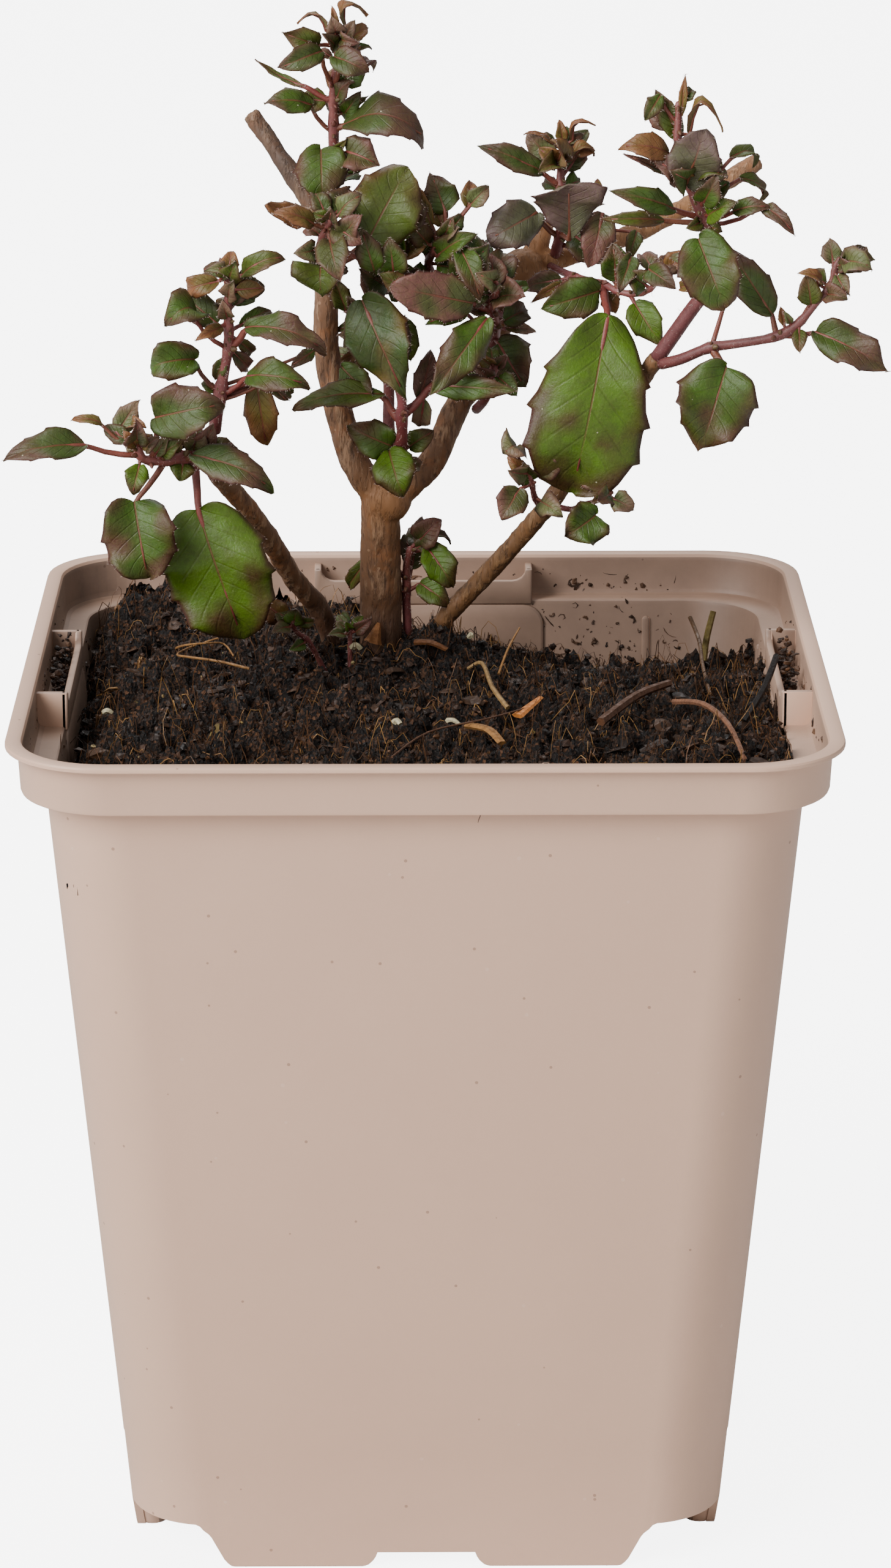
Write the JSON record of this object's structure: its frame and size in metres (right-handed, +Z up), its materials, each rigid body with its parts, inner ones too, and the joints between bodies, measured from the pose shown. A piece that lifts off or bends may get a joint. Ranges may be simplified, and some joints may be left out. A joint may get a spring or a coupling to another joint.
{
  "type": "potted fuchsia plant",
  "caption": "Young pruned fuchsia with small glossy leaves on woody stems, growing in a square tapered nursery pot filled with dark potting mix.",
  "frame": {"origin": "on the ground, under the middle of the full width and depth of plant and pot; the middle of the pot's foot is 2.5 mm to its left", "axes": "+Z up, -Y out of the pot's front face, +X to the right as seen from the front"},
  "size_m": [0.0973, 0.09, 0.171],
  "materials": {
    "pot_plastic": "satin",
    "potting_mix": "matte",
    "bark": "matte",
    "leaf_green": "satin",
    "leaf_bronze": "satin"
  },
  "bodies": {
    "root": {"pot": "pot_plastic", "soil": "potting_mix", "main_stem": "bark", "left_stem": "bark", "right_stem": "bark", "top_shoot": "leaf_bronze", "crown_shoot": "leaf_green", "left_top_shoot": "leaf_green", "left_low_shoot": "leaf_bronze", "fork_shoot": "leaf_green", "inner_shoot": "leaf_green", "elbow_shoot": "leaf_green", "upper_mid_shoot": "leaf_green", "centre_shoot": "leaf_green", "right_top_shoot": "leaf_bronze", "right_low_shoot": "leaf_green", "upper_right_shoot": "leaf_bronze", "right_shoot": "leaf_green", "low_sprig": "leaf_green", "low_side_sprig": "leaf_green", "foot_shoot": "leaf_green", "soil_sprig": "leaf_green", "star_sprig": "leaf_green"}
  },
  "joints": []
}
